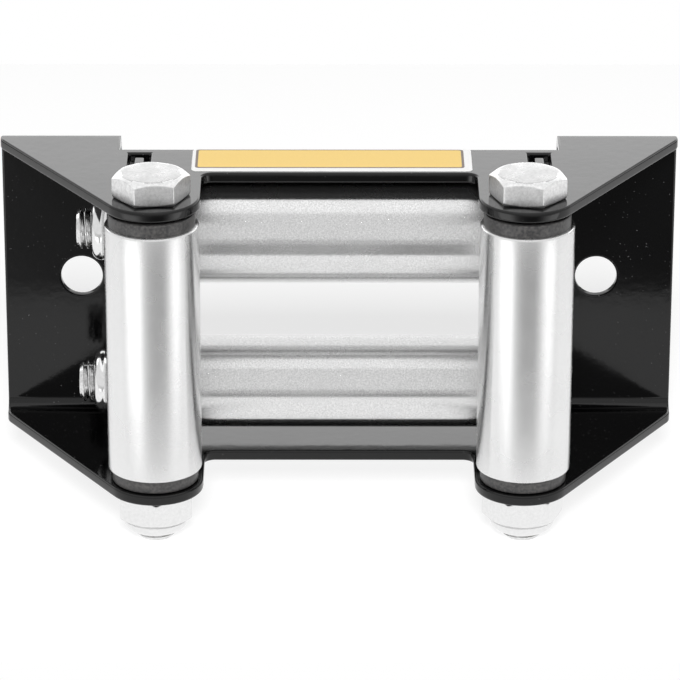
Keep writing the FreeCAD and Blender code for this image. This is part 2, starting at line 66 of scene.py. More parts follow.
# Sizes of the pieces, as in the solids.
ROLLER_RADIUS, UPPER_RADIUS, ROLLER_WALL, ROLLER_EDGE = 11, 13, 3, 0.6
RIM_STEP, RIM_THICKNESS, RIM_EDGE, SLEEVE_LENGTH = 0.9, 3, 0.35, 12
BUSHING_BORE = 5.05
BOLT_RADIUS, THREAD_PITCH, THREAD_DEPTH, END_CHAMFER = 5, 1.5, 0.85, 1.05
UPRIGHT_THREAD, LEVEL_THREAD = 17, 20
HEAD_FLATS, HEAD_HEIGHT, HEAD_CROWN, HEAD_CORNER = 15.8, 5.7, 7.35, 0.35
NUT_FLATS, NUT_HEX_HEIGHT, NUT_HEIGHT, NUT_CROWN, NUT_CORNER = 17, 7, 10, 8.1, 0.8
COLLAR_RADIUS, COLLAR_ROUND, COLLAR_MOUTH, COLLAR_LIP = 7.7, 2.1, 5.55, 0.7
INSERT_RADIUS, INSERT_HEIGHT = 6.5, 2.3
EAR_ROOT, COAT_EDGE = 50.7, 0.55
CHAMFER_SLOPE = math.tan(math.pi / 6)
HEAD_TURNS = {"left": 7, "right": -10, "upper": 12, "lower": -4}
NUT_TURNS = {"left": -33, "right": -7, "upper": 28, "lower": 22}


# ---------------------------------------------------------------- node helpers

def new_material(name):
    """A material with its Principled shader; the caller adds the detail."""
    material = bpy.data.materials.new(name)
    material.use_nodes = True
    tree = material.node_tree
    return material, tree, tree.nodes["Principled BSDF"]


def add(tree, kind, **settings):
    node = tree.nodes.new(kind)
    for name, value in settings.items():
        setattr(node, name, value)
    return node


def object_coordinates(tree, scale=(1, 1, 1)):
    """Object coordinates stretched by a Mapping node."""
    source = add(tree, "ShaderNodeTexCoord")
    mapping = add(tree, "ShaderNodeMapping")
    mapping.inputs["Scale"].default_value = scale
    tree.links.new(source.outputs["Object"], mapping.inputs["Vector"])
    return mapping.outputs["Vector"]


def noise(tree, vector, per_metre, detail=2.0, roughness=0.5):
    node = add(tree, "ShaderNodeTexNoise")
    node.inputs["Scale"].default_value = per_metre
    node.inputs["Detail"].default_value = detail
    node.inputs["Roughness"].default_value = roughness
    tree.links.new(vector, node.inputs["Vector"])
    return node.outputs["Fac"]


def spread(tree, value, low, high, to_low, to_high):
    """Map low..high of a pattern to another range."""
    node = add(tree, "ShaderNodeMapRange")
    for name, number in (("From Min", low), ("From Max", high),
                         ("To Min", to_low), ("To Max", to_high)):
        node.inputs[name].default_value = number
    tree.links.new(value, node.inputs["Value"])
    return node.outputs["Result"]


def shade_between(tree, factor, first, second):
    node = add(tree, "ShaderNodeMix", data_type="RGBA")
    node.inputs["A"].default_value = (*first, 1)
    node.inputs["B"].default_value = (*second, 1)
    tree.links.new(factor, node.inputs["Factor"])
    return node.outputs["Result"]


def bump(tree, height, strength, distance, below=None):
    node = add(tree, "ShaderNodeBump")
    node.inputs["Strength"].default_value = strength
    node.inputs["Distance"].default_value = distance
    tree.links.new(height, node.inputs["Height"])
    if below is not None:
        tree.links.new(below, node.inputs["Normal"])
    return node.outputs["Normal"]


# ---------------------------------------------------------------- finishes

def powder_coat():
    """Gloss black powder coat: a shallow orange peel, fine dust specks and small gloss changes."""
    material, tree, shader = new_material("gloss_black_powder_coat")
    place = object_coordinates(tree)
    peel = noise(tree, place, 420, 1.5)
    grain = noise(tree, place, 2600, 2)
    specks = spread(tree, noise(tree, place, 1900, 1), 0.755, 0.785, 0, 1)
    clouds = noise(tree, place, 60, 3)
    tree.links.new(shade_between(tree, specks, (0.0012, 0.0012, 0.0013), (0.07, 0.07, 0.07)),
                   shader.inputs["Base Color"])
    tree.links.new(spread(tree, clouds, 0.3, 0.7, 0.08, 0.13), shader.inputs["Roughness"])
    shader.inputs["IOR"].default_value = 1.43
    relief = bump(tree, peel, 0.18, 0.0001)
    relief = bump(tree, grain, 0.06, 0.00004, relief)
    relief = bump(tree, specks, 0.35, 0.00005, relief)
    tree.links.new(relief, shader.inputs["Normal"])
    return material


def roller_steel(axis, tone, grain_contrast, grain_relief):
    """Satin zinc plate over ground tube: a fine speckle under a sheen drawn out along the tube."""
    material, tree, shader = new_material("satin_plated_steel_" + axis.lower())
    place = object_coordinates(tree)
    speckle = noise(tree, place, 3000, 2.5, 0.6)
    broad = noise(tree, place, 700, 2)
    clouds = noise(tree, place, 90, 3)
    dark, light = [tone - grain_contrast] * 3, [tone + grain_contrast] * 3
    tree.links.new(shade_between(tree, spread(tree, speckle, 0.36, 0.66, 0, 1), dark, light),
                   shader.inputs["Base Color"])
    tree.links.new(spread(tree, clouds, 0.3, 0.7, 0.24, 0.29), shader.inputs["Roughness"])
    shader.inputs["Metallic"].default_value = 0.985
    shader.inputs["Anisotropic"].default_value = 0.95
    shader.inputs["Anisotropic Rotation"].default_value = 0.25
    around = add(tree, "ShaderNodeTangent", direction_type="RADIAL", axis=axis)
    tree.links.new(around.outputs["Tangent"], shader.inputs["Tangent"])
    relief = bump(tree, speckle, grain_relief, 0.00005)
    relief = bump(tree, broad, 0.05, 0.00005, relief)
    tree.links.new(relief, shader.inputs["Normal"])
    return material


def zinc_plate(name, dull, bright, smoothest, roughest):
    """Zinc plate of the bolts and nuts, mottled and slightly pitted by the tumbling."""
    material, tree, shader = new_material(name)
    place = object_coordinates(tree)
    mottle = noise(tree, place, 1400, 4, 0.65)
    pits = noise(tree, place, 2600, 2)
    clouds = noise(tree, place, 260, 3)
    tree.links.new(shade_between(tree, spread(tree, mottle, 0.35, 0.7, 0, 1),
                                 [dull] * 3, [bright] * 3),
                   shader.inputs["Base Color"])
    tree.links.new(spread(tree, clouds, 0.3, 0.7, smoothest, roughest), shader.inputs["Roughness"])
    shader.inputs["Metallic"].default_value = 1
    relief = bump(tree, mottle, 0.10, 0.00005)
    relief = bump(tree, pits, 0.08, 0.00004, relief)
    relief = bump(tree, clouds, 0.08, 0.0003, relief)
    tree.links.new(relief, shader.inputs["Normal"])
    return material


def bushing_plastic():
    """Dark grey moulded plastic with a fine grain."""
    material, tree, shader = new_material("dark_bushing_plastic")
    place = object_coordinates(tree)
    fine = noise(tree, place, 1600, 3)
    tree.links.new(shade_between(tree, spread(tree, fine, 0.35, 0.7, 0, 1),
                                 (0.024, 0.024, 0.025), (0.075, 0.072, 0.070)),
                   shader.inputs["Base Color"])
    tree.links.new(spread(tree, fine, 0.3, 0.7, 0.34, 0.5), shader.inputs["Roughness"])
    tree.links.new(bump(tree, fine, 0.25, 0.00005), shader.inputs["Normal"])
    return material


def natural_nylon():
    """Off-white nylon of the locking inserts."""
    material, tree, shader = new_material("natural_nylon")
    place = object_coordinates(tree)
    clouds = noise(tree, place, 500, 3)
    tree.links.new(shade_between(tree, clouds, (0.70, 0.69, 0.65), (0.80, 0.79, 0.75)),
                   shader.inputs["Base Color"])
    tree.links.new(spread(tree, clouds, 0.3, 0.7, 0.35, 0.5), shader.inputs["Roughness"])
    shader.inputs["Subsurface Weight"].default_value = 0.15
    shader.inputs["Subsurface Radius"].default_value = (0.001, 0.001, 0.001)
    tree.links.new(bump(tree, clouds, 0.2, 0.0001), shader.inputs["Normal"])
    return material


def label_print(name, first, second):
    """Satin vinyl with a faint print grain."""
    material, tree, shader = new_material(name)
    place = object_coordinates(tree)
    grain = noise(tree, place, 2200, 2)
    tree.links.new(shade_between(tree, grain, first, second), shader.inputs["Base Color"])
    tree.links.new(spread(tree, grain, 0.3, 0.7, 0.45, 0.55), shader.inputs["Roughness"])
    shader.inputs["IOR"].default_value = 1.22
    tree.links.new(bump(tree, grain, 0.08, 0.00003), shader.inputs["Normal"])
    return material


COAT = powder_coat()
BOLT_ZINC = zinc_plate("zinc_plated_bolt", 0.70, 0.92, 0.36, 0.46)
NUT_ZINC = zinc_plate("zinc_plated_nut", 0.76, 0.82, 0.10, 0.16)
# The bolt heads' top faces get a darker copy of the zinc: painted shade that keeps the upward faces
# from glaring.
HEAD_TOP_ZINC_PAINTED_SHADE = zinc_plate("zinc_plated_head_top_painted_shade", 0.42, 0.54, 0.24, 0.34)
THREAD_ZINC = zinc_plate("zinc_plated_thread", 0.60, 0.84, 0.13, 0.22)
# The upright and level rollers are one plated steel. The level rollers' lower tone (0.72 against
# 0.80) is painted shade that dims their reflections.
UPRIGHT_STEEL = roller_steel("Z", 0.80, 0.025, 0.04)
LEVEL_STEEL_PAINTED_SHADE = roller_steel("X", 0.72, 0.085, 0.16)
PLASTIC, NYLON = bushing_plastic(), natural_nylon()
VINYL_WHITE = label_print("white_vinyl", (0.90, 0.90, 0.89), (0.95, 0.95, 0.94))
VINYL_AMBER = label_print("amber_vinyl", (0.88, 0.62, 0.20), (0.94, 0.68, 0.24))
VINYL_LINE = label_print("grey_brown_vinyl", (0.20, 0.17, 0.15), (0.26, 0.22, 0.20))


# ---------------------------------------------------------------- mesh helpers

def link_mesh(name, mesh):
    obj = bpy.data.objects.new(name, mesh)
    bpy.context.scene.collection.objects.link(obj)
    return obj


def finish_piece(obj, material, body, node):
    """Give a piece its finish, if it has none yet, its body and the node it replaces."""
    if not obj.data.materials:
        obj.data.materials.append(material)
    for polygon in obj.data.polygons:
        polygon.use_smooth = True
    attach(obj, body)
    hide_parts(node)


def softened(points, rounds, steps=3):
    """Replace each corner that has a rounding by a short arc-like run of steps + 1 points."""
    result = []
    count = len(points)
    for i, (point, radius) in enumerate(zip(points, rounds)):
        here = np.array(point, float)
        if radius == 0:
            result.append(here)
            continue
        before = np.array(points[i - 1], float) - here
        after = np.array(points[(i + 1) % count], float) - here
        reach_before, reach_after = np.linalg.norm(before), np.linalg.norm(after)
        start = here + before / reach_before * min(radius, reach_before * 0.49)
        end = here + after / reach_after * min(radius, reach_after * 0.49)
        for step in range(steps + 1):
            t = step / steps
            result.append((1 - t) ** 2 * start + 2 * t * (1 - t) * here + t * t * end)
    return result


def turned_mesh(name, rows_at, angles):
    """A closed skin round the Z axis: rows_at gives the (radius, height) rows for an angle."""
    built = bmesh.new()
    columns = []
    for angle in angles:
        column = []
        for radius, height in rows_at(angle):
            column.append(built.verts.new((radius * math.cos(angle) * MM,
                                           radius * math.sin(angle) * MM, height * MM)))
        columns.append(column)
    for i, column in enumerate(columns):
        after = columns[(i + 1) % len(columns)]
        for k in range(len(column)):
            m = (k + 1) % len(column)
            built.faces.new((column[k], after[k], after[m], column[m]))
    bmesh.ops.remove_doubles(built, verts=built.verts, dist=1e-7)
    bmesh.ops.dissolve_degenerate(built, edges=built.edges, dist=1e-8)
    bmesh.ops.recalc_face_normals(built, faces=built.faces)
    mesh = bpy.data.meshes.new(name)
    built.to_mesh(mesh)
    built.free()
    return mesh


def fit(node, mesh, way, turn, place, material, body):
    """Turn a mesh about its own axis, point that axis the given way, move it to its place and let
    it stand for its node."""
    own_turn = Matrix.Rotation(math.radians(turn), 4, "Z")
    mesh.transform(Matrix.Translation(Vector(place) * MM) @ way @ own_turn)
    finish_piece(link_mesh(node + "_skin", mesh), material, body, node)


def ring_angles(count):
    return [2 * math.pi * i / count for i in range(count)]


# ---------------------------------------------------------------- pieces

def roller(name, skin, length):
    """A tube with softly broken end edges."""
    bore = skin - ROLLER_WALL
    half = length / 2
    levels = [half * k / 6 for k in range(-6, 7)]
    points = [(bore, -half), (skin, -half)]
    points += [(skin, level) for level in levels[1:-1]]
    points += [(skin, half), (bore, half)]
    rounds = [0.2, ROLLER_EDGE] + [0] * (len(levels) - 2) + [ROLLER_EDGE, 0.2]
    rows = softened(points, rounds, 4)
    return turned_mesh(name, lambda angle: rows, ring_angles(128))


def bushing(name, skin):
    """Flanged bushing: sleeve above its origin, rim below."""
    bore, rim = skin - ROLLER_WALL, skin - RIM_STEP
    points = [(BUSHING_BORE, -RIM_THICKNESS), (rim, -RIM_THICKNESS), (rim, -0.02),
              (bore - 0.02, -0.02), (bore - 0.02, SLEEVE_LENGTH), (BUSHING_BORE, SLEEVE_LENGTH)]
    rows = softened(points, [0.25, RIM_EDGE, 0.1, 0, 0.3, 0.3], 3)
    return turned_mesh(name, lambda angle: rows, ring_angles(112))


def hexagon_radius(angle, flats, corner):
    """Distance from the axis to a hexagon with rounded corners; one flat faces -Y."""
    apothem = flats / 2
    sixth = math.pi / 3
    off = (angle + math.pi / 2 + sixth / 2) % sixth - sixth / 2
    tangent = math.atan((apothem - corner) * math.tan(sixth / 2) / apothem)
    if abs(off) <= tangent:
        return apothem / math.cos(off)
    reach = (apothem - corner) / math.cos(sixth / 2)
    lean = sixth / 2 - abs(off)
    return reach * math.cos(lean) + math.sqrt(max(corner ** 2 - (reach * math.sin(lean)) ** 2, 0))


def hexagon_angles(flats, corner):
    """Angles that fall on each flat's ends and round each corner."""
    apothem = flats / 2
    tangent = math.atan((apothem - corner) * math.tan(math.pi / 6) / apothem)
    sixth = math.pi / 3
    one = [-tangent + 2 * tangent * k / 10 for k in range(11)]
    one += [tangent + (sixth - 2 * tangent) * k / 6 for k in range(1, 6)]
    return [i * sixth - math.pi / 2 + off for i in range(6) for off in one]


def bolt_head(name):
    """A cold-headed hexagon with its 30 degree chamfer and a shallow relief under its corners."""
    relief_start, relief_slope = 7.8, 0.35

    def rows(angle):
        edge = hexagon_radius(angle, HEAD_FLATS, HEAD_CORNER)
        fall = (edge - HEAD_CROWN) * CHAMFER_SLOPE
        lift = max(edge - relief_start, 0) * relief_slope
        points = [(0, HEAD_HEIGHT), (HEAD_CROWN, HEAD_HEIGHT), (edge, HEAD_HEIGHT - fall),
                  (edge, 0.25 + lift), (edge - 0.35, 0.02), (0, 0)]
        return softened(points, [0, 1.3, 0.22, 0.2, 0.1, 0], 4)

    return turned_mesh(name, rows, hexagon_angles(HEAD_FLATS, HEAD_CORNER))


def insert_seat():
    """Heights of the shelf that carries a nylon insert and of the lip that holds it down."""
    lip = NUT_HEIGHT - COLLAR_LIP
    return lip - INSERT_HEIGHT, lip


def lock_nut(name):
    """A hexagon with a rolled collar: bore for the thread below, seat for the insert above."""
    shelf, lip = insert_seat()
    collar = COLLAR_RADIUS - 0.05
    dome = []
    for step in range(9):
        turn = math.pi / 2 * step / 8
        dome.append((collar - COLLAR_ROUND * (1 - math.cos(turn)),
                     NUT_HEIGHT - COLLAR_ROUND * (1 - math.sin(turn))))
    seat = [(COLLAR_MOUTH, NUT_HEIGHT), (COLLAR_MOUTH, lip), (INSERT_RADIUS, lip),
            (INSERT_RADIUS, shelf), (BOLT_RADIUS, shelf)]

    def rows(angle):
        edge = hexagon_radius(angle, NUT_FLATS, NUT_CORNER)
        fall = (edge - NUT_CROWN) * CHAMFER_SLOPE
        hexagon = [(BOLT_RADIUS, 0), (NUT_CROWN, 0), (edge, fall), (edge, NUT_HEX_HEIGHT - fall),
                   (collar, NUT_HEX_HEIGHT + 0.12)]
        return softened(hexagon, [0.1, 0.2, 0.3, 0.5, 0.12], 3) + dome + seat

    return turned_mesh(name, rows, hexagon_angles(NUT_FLATS, NUT_CORNER))


def nut_insert(name):
    """The nylon ring in a lock nut's collar."""
    shelf, lip = insert_seat()
    points = [(BOLT_RADIUS, shelf), (INSERT_RADIUS, shelf),
              (INSERT_RADIUS, lip), (BOLT_RADIUS, lip)]
    rows = softened(points, [0.1, 0.1, 0.1, 0.25], 2)
    return turned_mesh(name, lambda angle: rows, ring_angles(64))


def threaded_shank_tree():
    """Node tree of a shank whose far end carries a rolled thread and a chamfer."""
    tree = bpy.data.node_groups.new("threaded_shank", "GeometryNodeTree")
    for name in ("Radius", "Length", "Thread Length", "Pitch", "Depth", "Chamfer"):
        tree.interface.new_socket(name, in_out="INPUT", socket_type="NodeSocketFloat")
    tree.interface.new_socket("Around", in_out="INPUT", socket_type="NodeSocketInt")
    tree.interface.new_socket("Along", in_out="INPUT", socket_type="NodeSocketInt")
    tree.interface.new_socket("Finish", in_out="INPUT", socket_type="NodeSocketMaterial")
    tree.interface.new_socket("Mesh", in_out="OUTPUT", socket_type="NodeSocketGeometry")
    given = tree.nodes.new("NodeGroupInput").outputs

    def math_node(operation, *values):
        node = add(tree, "ShaderNodeMath", operation=operation)
        for socket, value in zip(node.inputs, values):
            if isinstance(value, (int, float)):
                socket.default_value = value
            else:
                tree.links.new(value, socket)
        return node.outputs[0]

    grid = add(tree, "GeometryNodeMeshGrid")
    tree.links.new(given["Around"], grid.inputs["Vertices X"])
    tree.links.new(given["Along"], grid.inputs["Vertices Y"])
    grid.inputs["Size X"].default_value = 1
    grid.inputs["Size Y"].default_value = 1
    place = add(tree, "ShaderNodeSeparateXYZ")
    tree.links.new(add(tree, "GeometryNodeInputPosition").outputs[0], place.inputs[0])
    angle = math_node("MULTIPLY", math_node("ADD", place.outputs["X"], 0.5), 2 * math.pi)
    # Along the skin: from the axis at the head's side, up the thread, and back to the axis.
    radius, thread = given["Radius"], given["Thread Length"]
    whole = math_node("ADD", thread, math_node("MULTIPLY", radius, 2))
    share = math_node("ADD", place.outputs["Y"], 0.5)
    along = math_node("SUBTRACT", math_node("MULTIPLY", share, whole), radius)
    on_thread = math_node("MINIMUM", math_node("MAXIMUM", along, 0), thread)
    start = math_node("SUBTRACT", given["Length"], thread)
    beyond_head = math_node("GREATER_THAN", along, 0)
    height = math_node("MULTIPLY", beyond_head, math_node("ADD", start, on_thread))
    phase = math_node("FRACT", math_node("ADD", math_node("DIVIDE", on_thread, given["Pitch"]),
                                         math_node("DIVIDE", angle, 2 * math.pi)))
    # The groove keeps a narrow flat crest, has steep flanks and grows over the first turn.
    wave = math_node("MULTIPLY", math_node("ABSOLUTE", math_node("SUBTRACT", phase, 0.5)), 2)
    groove = math_node("MULTIPLY", math_node("SUBTRACT", wave, 0.14), 1.35)
    groove = math_node("MINIMUM", math_node("MAXIMUM", groove, 0), 1)
    fade = math_node("MINIMUM", math_node("DIVIDE", on_thread, given["Pitch"]), 1)
    cut = math_node("MULTIPLY", math_node("MULTIPLY", groove, fade), given["Depth"])
    skin = math_node("SUBTRACT", radius, cut)
    cone = math_node("ADD", math_node("SUBTRACT", radius, given["Chamfer"]),
                     math_node("SUBTRACT", thread, on_thread))
    far_cap = math_node("SUBTRACT", math_node("ADD", thread, radius), along)
    near_cap = math_node("ADD", along, radius)
    reach = math_node("MINIMUM", math_node("MINIMUM", skin, cone),
                      math_node("MINIMUM", far_cap, near_cap))
    where = add(tree, "ShaderNodeCombineXYZ")
    tree.links.new(math_node("MULTIPLY", reach, math_node("COSINE", angle)), where.inputs["X"])
    tree.links.new(math_node("MULTIPLY", reach, math_node("SINE", angle)), where.inputs["Y"])
    tree.links.new(math_node("MULTIPLY", height, -1), where.inputs["Z"])
    move = add(tree, "GeometryNodeSetPosition")
    tree.links.new(grid.outputs["Mesh"], move.inputs["Geometry"])
    tree.links.new(where.outputs[0], move.inputs["Position"])
    close = add(tree, "GeometryNodeMergeByDistance")
    close.inputs["Distance"].default_value = 1e-6
    tree.links.new(move.outputs[0], close.inputs["Geometry"])
    realize = add(tree, "GeometryNodeRealizeInstances")
    tree.links.new(close.outputs[0], realize.inputs[0])
    finish = add(tree, "GeometryNodeSetMaterial")
    tree.links.new(realize.outputs[0], finish.inputs["Geometry"])
    tree.links.new(given["Finish"], finish.inputs["Material"])
    tree.links.new(finish.outputs[0], tree.nodes.new("NodeGroupOutput").inputs[0])
    return tree


SHANK_TREE = threaded_shank_tree()


def threaded_shank(name, length, thread_length):
    """Evaluate the shank's node tree and keep its result as a plain mesh."""
    carrier = link_mesh(name + "_carrier", bpy.data.meshes.new(name + "_carrier"))
    modifier = carrier.modifiers.new("shank", "NODES")
    modifier.node_group = SHANK_TREE
    rows_per_turn = 12
    sizes = {
        "Radius": (BOLT_RADIUS - 0.02) * MM, "Length": length * MM,
        "Thread Length": thread_length * MM, "Pitch": THREAD_PITCH * MM,
        "Depth": THREAD_DEPTH * MM, "Chamfer": END_CHAMFER * MM, "Around": 73,
        "Along": int((thread_length + 2 * BOLT_RADIUS) / THREAD_PITCH * rows_per_turn),
        "Finish": THREAD_ZINC,
    }
    for item in SHANK_TREE.interface.items_tree:
        if item.in_out == "INPUT":
            modifier[item.identifier] = sizes[item.name]
    bpy.context.view_layer.update()
    evaluated = carrier.evaluated_get(bpy.context.evaluated_depsgraph_get())
    mesh = bpy.data.meshes.new_from_object(evaluated)
    bpy.data.objects.remove(carrier)
    built = bmesh.new()
    built.from_mesh(mesh)
    bmesh.ops.recalc_face_normals(built, faces=built.faces)
    built.to_mesh(mesh)
    built.free()
    mesh.name = name
    return mesh


def joined(name, meshes):
    """Several meshes as one, in one piece."""
    built = bmesh.new()
    for mesh in meshes:
        built.from_mesh(mesh)
    whole = bpy.data.meshes.new(name)
    built.to_mesh(whole)
    built.free()
    return whole


def bolt(name, length, thread_length):
    """A bolt whose head's top face is darker than the rest, which is painted shade, and whose
    thread is glossier."""
    mesh = joined(name, [bolt_head(name + "_head"),
                         threaded_shank(name + "_shank", length, thread_length)])
    for finish in (BOLT_ZINC, HEAD_TOP_ZINC_PAINTED_SHADE, THREAD_ZINC):
        mesh.materials.append(finish)
    side, top, thread = range(3)
    for polygon in mesh.polygons:
        if polygon.center.z < 0:
            polygon.material_index = thread
        else:
            on_top = polygon.normal.z > 0.995 and polygon.center.z > 0
            polygon.material_index = top if on_top else side
    return mesh


def bracket():
    """The folded sheet: the solid's own shape, its cut edges softened as under a thick coat."""
    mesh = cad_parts["bracket"].data.copy()
    built = bmesh.new()
    built.from_mesh(mesh)
    bmesh.ops.remove_doubles(built, verts=built.verts, dist=1e-6)
    bmesh.ops.dissolve_limit(built, angle_limit=math.radians(0.6), verts=built.verts,
                             edges=built.edges)
    weight = built.edges.layers.float.new("bevel_weight_edge")
    for edge in built.edges:
        spot = (edge.verts[0].co + edge.verts[1].co) / 2 / MM
        at_ear_root = abs(abs(spot.x) - EAR_ROOT) < 2.6 and abs(spot.z) > 30 and spot.y > -6
        sharp = len(edge.link_faces) == 2 and edge.calc_face_angle() > math.radians(35)
        edge[weight] = 1.0 if sharp and not at_ear_root else 0.0
        edge.smooth = not (sharp and at_ear_root)
    built.to_mesh(mesh)
    built.free()
    mesh.materials.clear()
    obj = link_mesh("bracket_shell", mesh)
    rounding = obj.modifiers.new("coat_edge", "BEVEL")
    rounding.width = COAT_EDGE * MM
    rounding.segments = 3
    rounding.limit_method = "WEIGHT"
    rounding.use_clamp_overlap = False
    rounding.loop_slide = False
    flat = obj.modifiers.new("flat_faces", "WEIGHTED_NORMAL")
    flat.weight = 100
    flat.keep_sharp = True
    return obj


def rounded_sheet(name, low, high, level, corner, thickness):
    """A thin flat plate with rounded corners, lying on the given level."""
    built = bmesh.new()
    outline = []
    left, right, near, far = low[0] + corner, high[0] - corner, low[1] + corner, high[1] - corner
    for x, y, first in ((right, far, 0), (left, far, 90), (left, near, 180), (right, near, 270)):
        for step in range(7):
            turn = math.radians(first + 15 * step)
            outline.append((x + corner * math.cos(turn), y + corner * math.sin(turn)))
    top = [built.verts.new((x * MM, y * MM, (level + thickness) * MM)) for x, y in outline]
    foot = [built.verts.new((x * MM, y * MM, level * MM)) for x, y in outline]
    built.faces.new(top)
    built.faces.new(list(reversed(foot)))
    for i in range(len(top)):
        k = (i + 1) % len(top)
        built.faces.new((foot[i], foot[k], top[k], top[i]))
    bmesh.ops.recalc_face_normals(built, faces=built.faces)
    mesh = bpy.data.meshes.new(name)
    built.to_mesh(mesh)
    built.free()
    return link_mesh(name, mesh)


# ---------------------------------------------------------------- assembly

def middle(node):
    low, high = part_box(node)
    return (low + high) / 2 / MM


def span(node, axis):
    low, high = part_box(node)
    return (high[axis] - low[axis]) / MM


finish_piece(bracket(), COAT, "frame", "bracket")
top_face, low_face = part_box("bracket")[1].z / MM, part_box("bracket")[0].z / MM

for side in ("left", "right"):
    tube = "vertical_roller_" + side
    x, y, z = middle(tube)
    length = span(tube, 2)
    fit(tube, roller(tube, ROLLER_RADIUS, length), UP, 0, (x, y, z),
        UPRIGHT_STEEL, tube)
    for end, way, level in (("lower", UP, z - length / 2), ("upper", DOWN, z + length / 2)):
        node = "vertical_bushing_%s_%s" % (side, end)
        fit(node, bushing(node, ROLLER_RADIUS), way, 0, (x, y, level),
            PLASTIC, tube)
    node = "vertical_bolt_" + side
    shank_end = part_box(node)[0].z / MM
    fit(node, bolt(node, top_face - shank_end, UPRIGHT_THREAD), UP, HEAD_TURNS[side],
        (x, y, top_face), BOLT_ZINC, "frame")
    node = "vertical_lock_nut_" + side
    fit(node, lock_nut(node), DOWN, NUT_TURNS[side], (x, y, low_face),
        NUT_ZINC, "frame")
    node = "vertical_nut_insert_" + side
    fit(node, nut_insert(node), DOWN, 0, (x, y, low_face), NYLON, "frame")

for level, skin in (("upper", UPPER_RADIUS), ("lower", ROLLER_RADIUS)):
    tube = "horizontal_roller_" + level
    x, y, z = middle(tube)
    length = span(tube, 0)
    right_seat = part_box("horizontal_bolt_" + level)[1].x / MM - HEAD_HEIGHT
    left_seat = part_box("horizontal_lock_nut_" + level)[1].x / MM
    fit(tube, roller(tube, skin, length), TO_RIGHT, 0, (x, y, z), LEVEL_STEEL_PAINTED_SHADE, tube)
    for end, way, at in (("left", TO_RIGHT, x - length / 2), ("right", TO_LEFT, x + length / 2)):
        node = "horizontal_bushing_%s_%s" % (level, end)
        fit(node, bushing(node, skin), way, 0, (at, y, z), PLASTIC, tube)
    node = "horizontal_bolt_" + level
    shank_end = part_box(node)[0].x / MM
    fit(node, bolt(node, right_seat - shank_end, LEVEL_THREAD), TO_RIGHT, HEAD_TURNS[level],
        (right_seat, y, z), BOLT_ZINC, "frame")
    node = "horizontal_lock_nut_" + level
    fit(node, lock_nut(node), TO_LEFT, NUT_TURNS[level], (left_seat, y, z),
        NUT_ZINC, "frame")
    node = "horizontal_nut_insert_" + level
    fit(node, nut_insert(node), TO_LEFT, 0, (left_seat, y, z), NYLON, "frame")

# The plain label on the upper flange: white border, thin outline, amber field.
LABEL_FILM = 0.05
for name, low, high, rise, corner, finish in (
    ("label_border", (-34.5, -28.8), (31, -13.75), 0.0, 1.2, VINYL_WHITE),
    ("label_outline", (-33.7, -26.7), (29.2, -14.2), 0.05, 0.9, VINYL_LINE),
    ("label_field", (-33.1, -26.2), (28.6, -14.7), 0.08, 0.6, VINYL_AMBER),
):
    piece = rounded_sheet(name, low, high, top_face + rise, corner, LABEL_FILM)
    piece.data.materials.append(finish)
    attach(piece, "frame")


# ---------------------------------------------------------------- studio

FLOOR_LEVEL = cad_box[0].z / MM
FLOOR_HALF, FLOOR_NEAR, FLOOR_FAR = 700, -114, 300


def bare_tree(owner):
    """The emptied node tree of a material or a world."""
    owner.use_nodes = True
    owner.node_tree.nodes.clear()
    return owner.node_tree


def glow_finish(name):
    """A soft light without a surface of its own: its material, its tree and its strength socket."""
    material = bpy.data.materials.new(name)
    tree = bare_tree(material)
    lamp = add(tree, "ShaderNodeEmission")
    tree.links.new(lamp.outputs[0], add(tree, "ShaderNodeOutputMaterial").inputs[0])
    return material, tree, lamp.inputs["Strength"]


def reflected_only(obj):
    """Seen in reflections alone: it lights nothing matt, shades nothing and isn't in view."""
    obj.visible_camera = False
    obj.visible_diffuse = False
    obj.visible_shadow = False
    obj.visible_volume_scatter = False


def by_ray(tree, lighting, shown, output_kind):
    """Camera, glossy and transmission rays meet one shader, and all others the lighting one."""
    rays = add(tree, "ShaderNodeLightPath").outputs
    factor = rays["Is Camera Ray"]
    for kind in ("Is Glossy Ray", "Is Transmission Ray"):
        either = add(tree, "ShaderNodeMath", operation="MAXIMUM")
        tree.links.new(factor, either.inputs[0])
        tree.links.new(rays[kind], either.inputs[1])
        factor = either.outputs[0]
    mix = add(tree, "ShaderNodeMixShader")
    for source, socket in zip((factor, lighting, shown), mix.inputs):
        tree.links.new(source, socket)
    tree.links.new(mix.outputs[0], add(tree, output_kind).inputs[0])


def backdrop_finish(name, albedo):
    """White paper that shows its lit tone and a glow, which is stronger and takes a fainter shadow
    in front of the object than behind it."""
    material = bpy.data.materials.new(name)
    tree = bare_tree(material)
    paper = add(tree, "ShaderNodeBsdfDiffuse")
    paper.inputs["Color"].default_value = (albedo, albedo, albedo, 1)
    place = add(tree, "ShaderNodeSeparateXYZ")
    tree.links.new(object_coordinates(tree), place.inputs[0])
    depth, depth_reach = place.outputs["Y"], 0.07
    lit = add(tree, "ShaderNodeBsdfDiffuse")
    tree.links.new(spread(tree, depth, 0, depth_reach, albedo * 0.28, albedo * 0.55),
                   lit.inputs["Color"])
    glow = add(tree, "ShaderNodeEmission")
    glow.inputs["Color"].default_value = (1, 1, 1, 1)
    tree.links.new(spread(tree, depth, 0, depth_reach, 0.83, 0.64), glow.inputs["Strength"])
    shown = add(tree, "ShaderNodeAddShader")
    tree.links.new(lit.outputs[0], shown.inputs[0])
    tree.links.new(glow.outputs[0], shown.inputs[1])
    by_ray(tree, paper.outputs[0], shown.outputs[0], "ShaderNodeOutputMaterial")
    return material


def flat_sheet(name, corners, material):
    """A four-cornered sheet of the set."""
    mesh = bpy.data.meshes.new(name)
    mesh.from_pydata([Vector(corner) * MM for corner in corners], [], [(0, 1, 2, 3)])
    obj = link_mesh(name, mesh)
    mesh.materials.append(material)
    return obj


